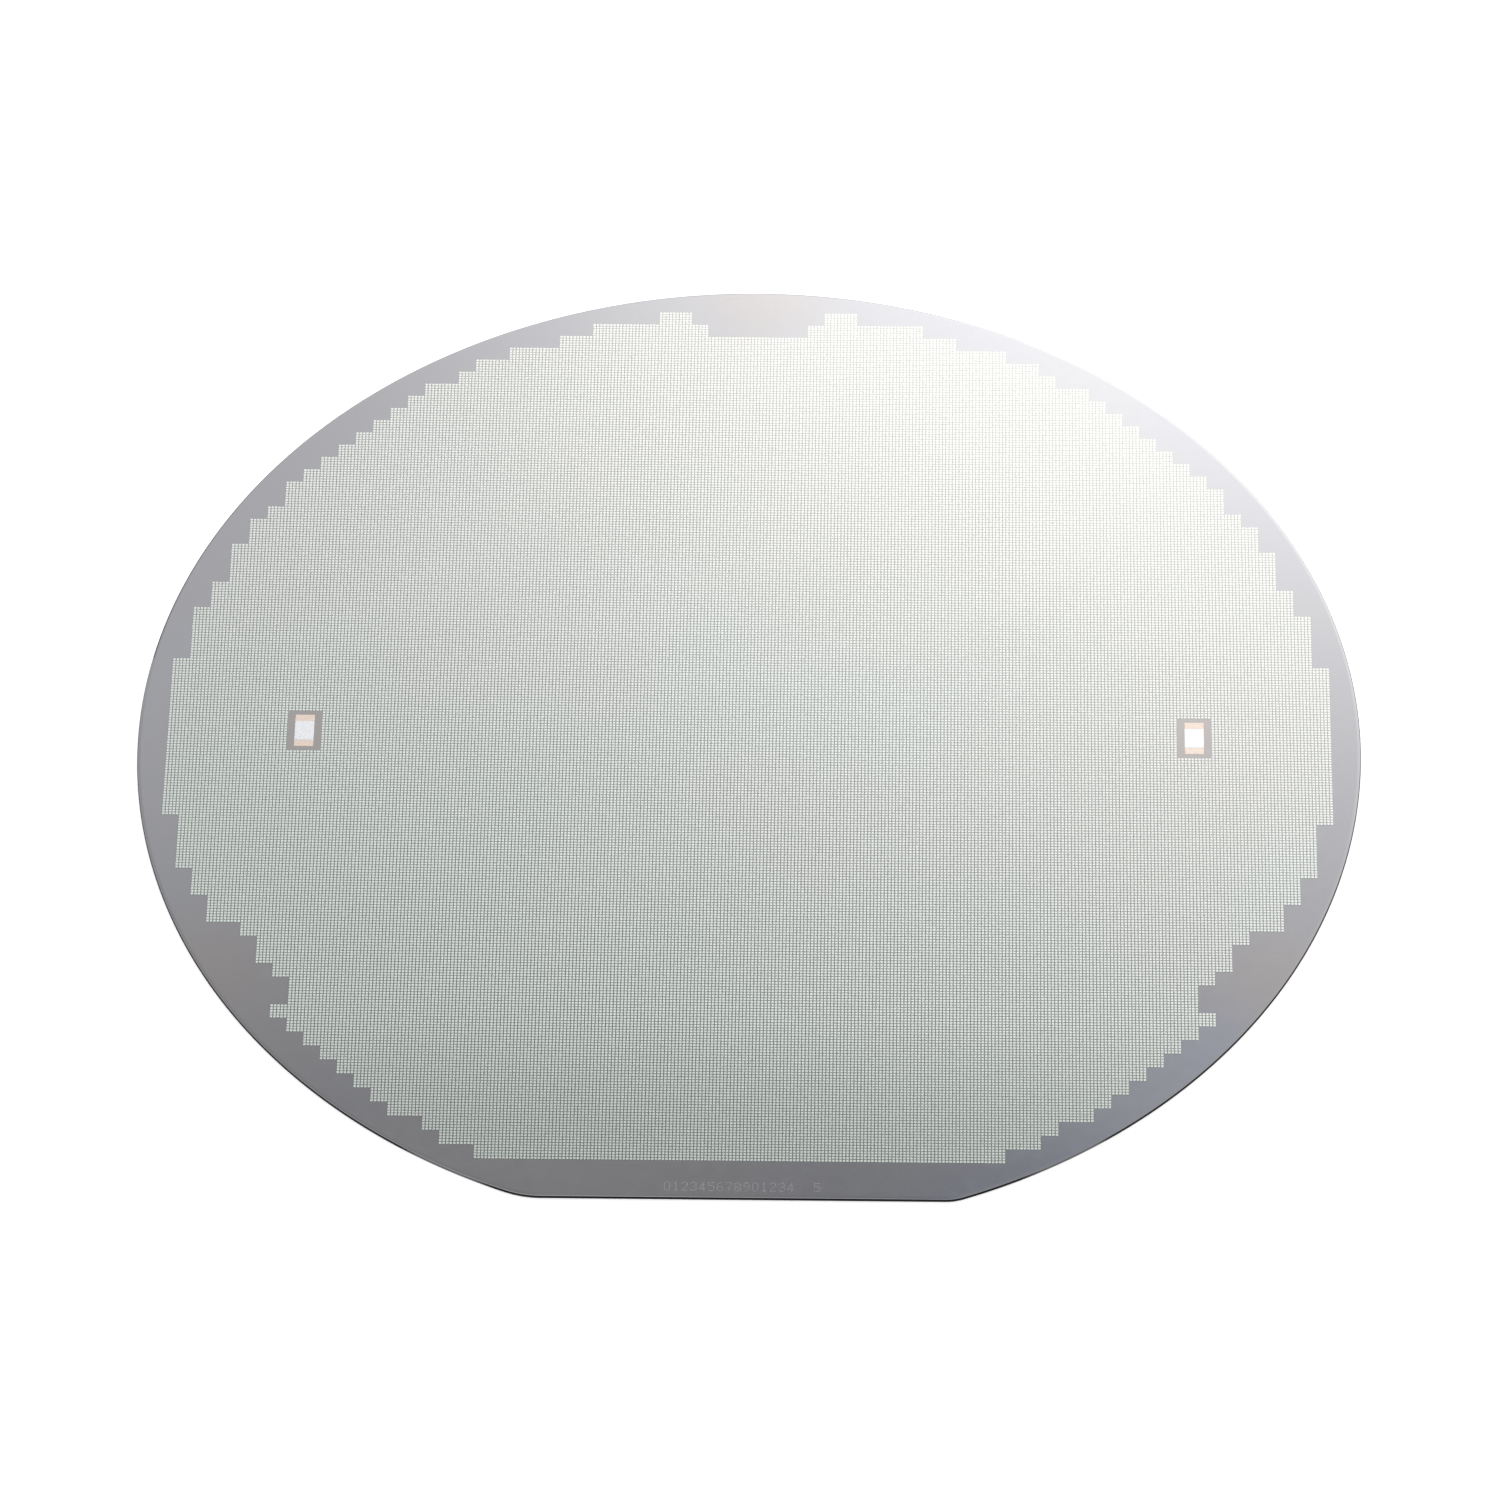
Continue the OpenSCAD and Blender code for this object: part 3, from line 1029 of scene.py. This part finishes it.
def make_room(scene, stage):
    """A soft room: the glow that the wafer mirrors into the camera, a slanting fill round it, and walls."""
    world = bpy.data.worlds.new("Studio")
    world.use_nodes = True
    scene.world = world
    tree = world.node_tree
    background = tree.nodes["Background"]
    direction = add(tree, "ShaderNodeTexCoord").outputs["Generated"]
    lean = math.radians(VIEW_HEIGHT)
    rise_axis = Vector((0.0, -math.sin(lean), math.cos(lean)))
    side_axis = Vector((1.0, 0.0, 0.0))
    mirror_axis = Vector((0.0, math.cos(lean), math.sin(lean)))
    upward, rightward = along(tree, direction, rise_axis), along(tree, direction, side_axis)
    rise, side = bend(tree, upward, GLOW_RISE), bend(tree, rightward, GLOW_SIDE)
    glow = GLOW_TERMS[0][0]
    for share, side_power, rise_power in GLOW_TERMS[1:]:
        term = share
        for _ in range(side_power):
            term = math_node(tree, "MULTIPLY", side, term)
        for _ in range(rise_power):
            term = math_node(tree, "MULTIPLY", rise, term)
        glow = math_node(tree, "ADD", term, glow)
    glow = math_node(tree, "TANH", math_node(tree, "MULTIPLY", glow, GLOW_STEEPNESS))
    backdrop = spread(tree, glow, -1.0, 1.0, stage.room_light, stage.backdrop_light)
    share = spread(tree, upward, *FILL_RISE, stage.fill_right, stage.fill_right * FILL_IN_FRONT)
    slant = math_node(tree, "MULTIPLY", bend(tree, rightward, FILL_SIDE), share)
    slant = math_node(tree, "MULTIPLY_ADD", upward, -stage.fill_back, slant)
    fill = math_node(tree, "MULTIPLY", math_node(tree, "EXPONENT", slant), stage.fill_light)
    mirrored = along(tree, direction, mirror_axis)
    around = spread(tree, mirrored, *FILL_REACH, 0.0, 1.0, smooth=True)
    inside = spread(tree, mirrored, *GLOW_REACH, 0.0, 1.0, smooth=True)
    light = blend_values(tree, inside, blend_values(tree, around, stage.wall_light, fill), backdrop)
    feed(tree, background.inputs["Strength"], light)
    warmth = spread(tree, glow, -1.0, 1.0, 0.0, 1.0)
    tint = blend_colours(tree, warmth, opaque(GLOW_COOL), opaque(GLOW_WARM))
    feed(tree, background.inputs["Color"], tint)


def make_camera(scene, stage):
    """A long lens in front of and above the wafer."""
    roll = math.radians(CAMERA_ROLL)
    forward = (CAMERA_TARGET - CAMERA_PLACE).normalized()
    right = forward.cross(Vector((0.0, 0.0, 1.0))).normalized()
    up = right.cross(forward)
    turned_right = right * math.cos(roll) + up * math.sin(roll)
    turned_up = up * math.cos(roll) - right * math.sin(roll)
    data = bpy.data.cameras.new("camera")
    data.lens = stage.lens
    data.sensor_width = SENSOR_WIDTH
    data.clip_start, data.clip_end = 0.05, 60.0
    camera = bpy.data.objects.new("camera", data)
    turn = Matrix((turned_right, turned_up, -forward)).transposed()
    camera.matrix_world = Matrix.Translation(CAMERA_PLACE) @ turn.to_4x4()
    scene.collection.objects.link(camera)
    scene.camera = camera


class WAFER_PT_panel(bpy.types.Panel):
    """Lists the wafer's parts and their settings"""

    bl_idname = "WAFER_PT_panel"
    bl_label = "Patterned wafer"
    bl_space_type = "VIEW_3D"
    bl_region_type = "UI"
    bl_category = "Wafer"

    def draw(self, context):
        settings = context.scene.wafer
        for operator in STEPS:
            self.layout.operator(operator.bl_idname)
        for kind in settings.__annotations__:
            part = getattr(settings, kind)
            column = self.layout.column(align=True)
            for key in part.__annotations__:
                column.prop(part, key)


STEPS = (
    WAFER_OT_groups,
    WAFER_OT_disc,
    WAFER_OT_film,
    WAFER_OT_pads,
    WAFER_OT_test_plates,
    WAFER_OT_mark,
    WAFER_OT_stage,
)
CLASSES = (
    WaferDiscSettings,
    WaferFieldSettings,
    WaferTestSettings,
    WaferMarkSettings,
    WaferFinishSettings,
    WaferStageSettings,
    WaferSettings,
    *STEPS,
    WAFER_PT_panel,
)


def register():
    for made in CLASSES:
        bpy.utils.register_class(made)
    bpy.types.Scene.wafer = PointerProperty(type=WaferSettings)


def unregister():
    del bpy.types.Scene.wafer
    for made in reversed(CLASSES):
        bpy.utils.unregister_class(made)


def main():
    register()
    for step in STEPS:
        family, name = step.bl_idname.split(".")
        getattr(getattr(bpy.ops, family), name)()


if __name__ == "__main__":
    main()
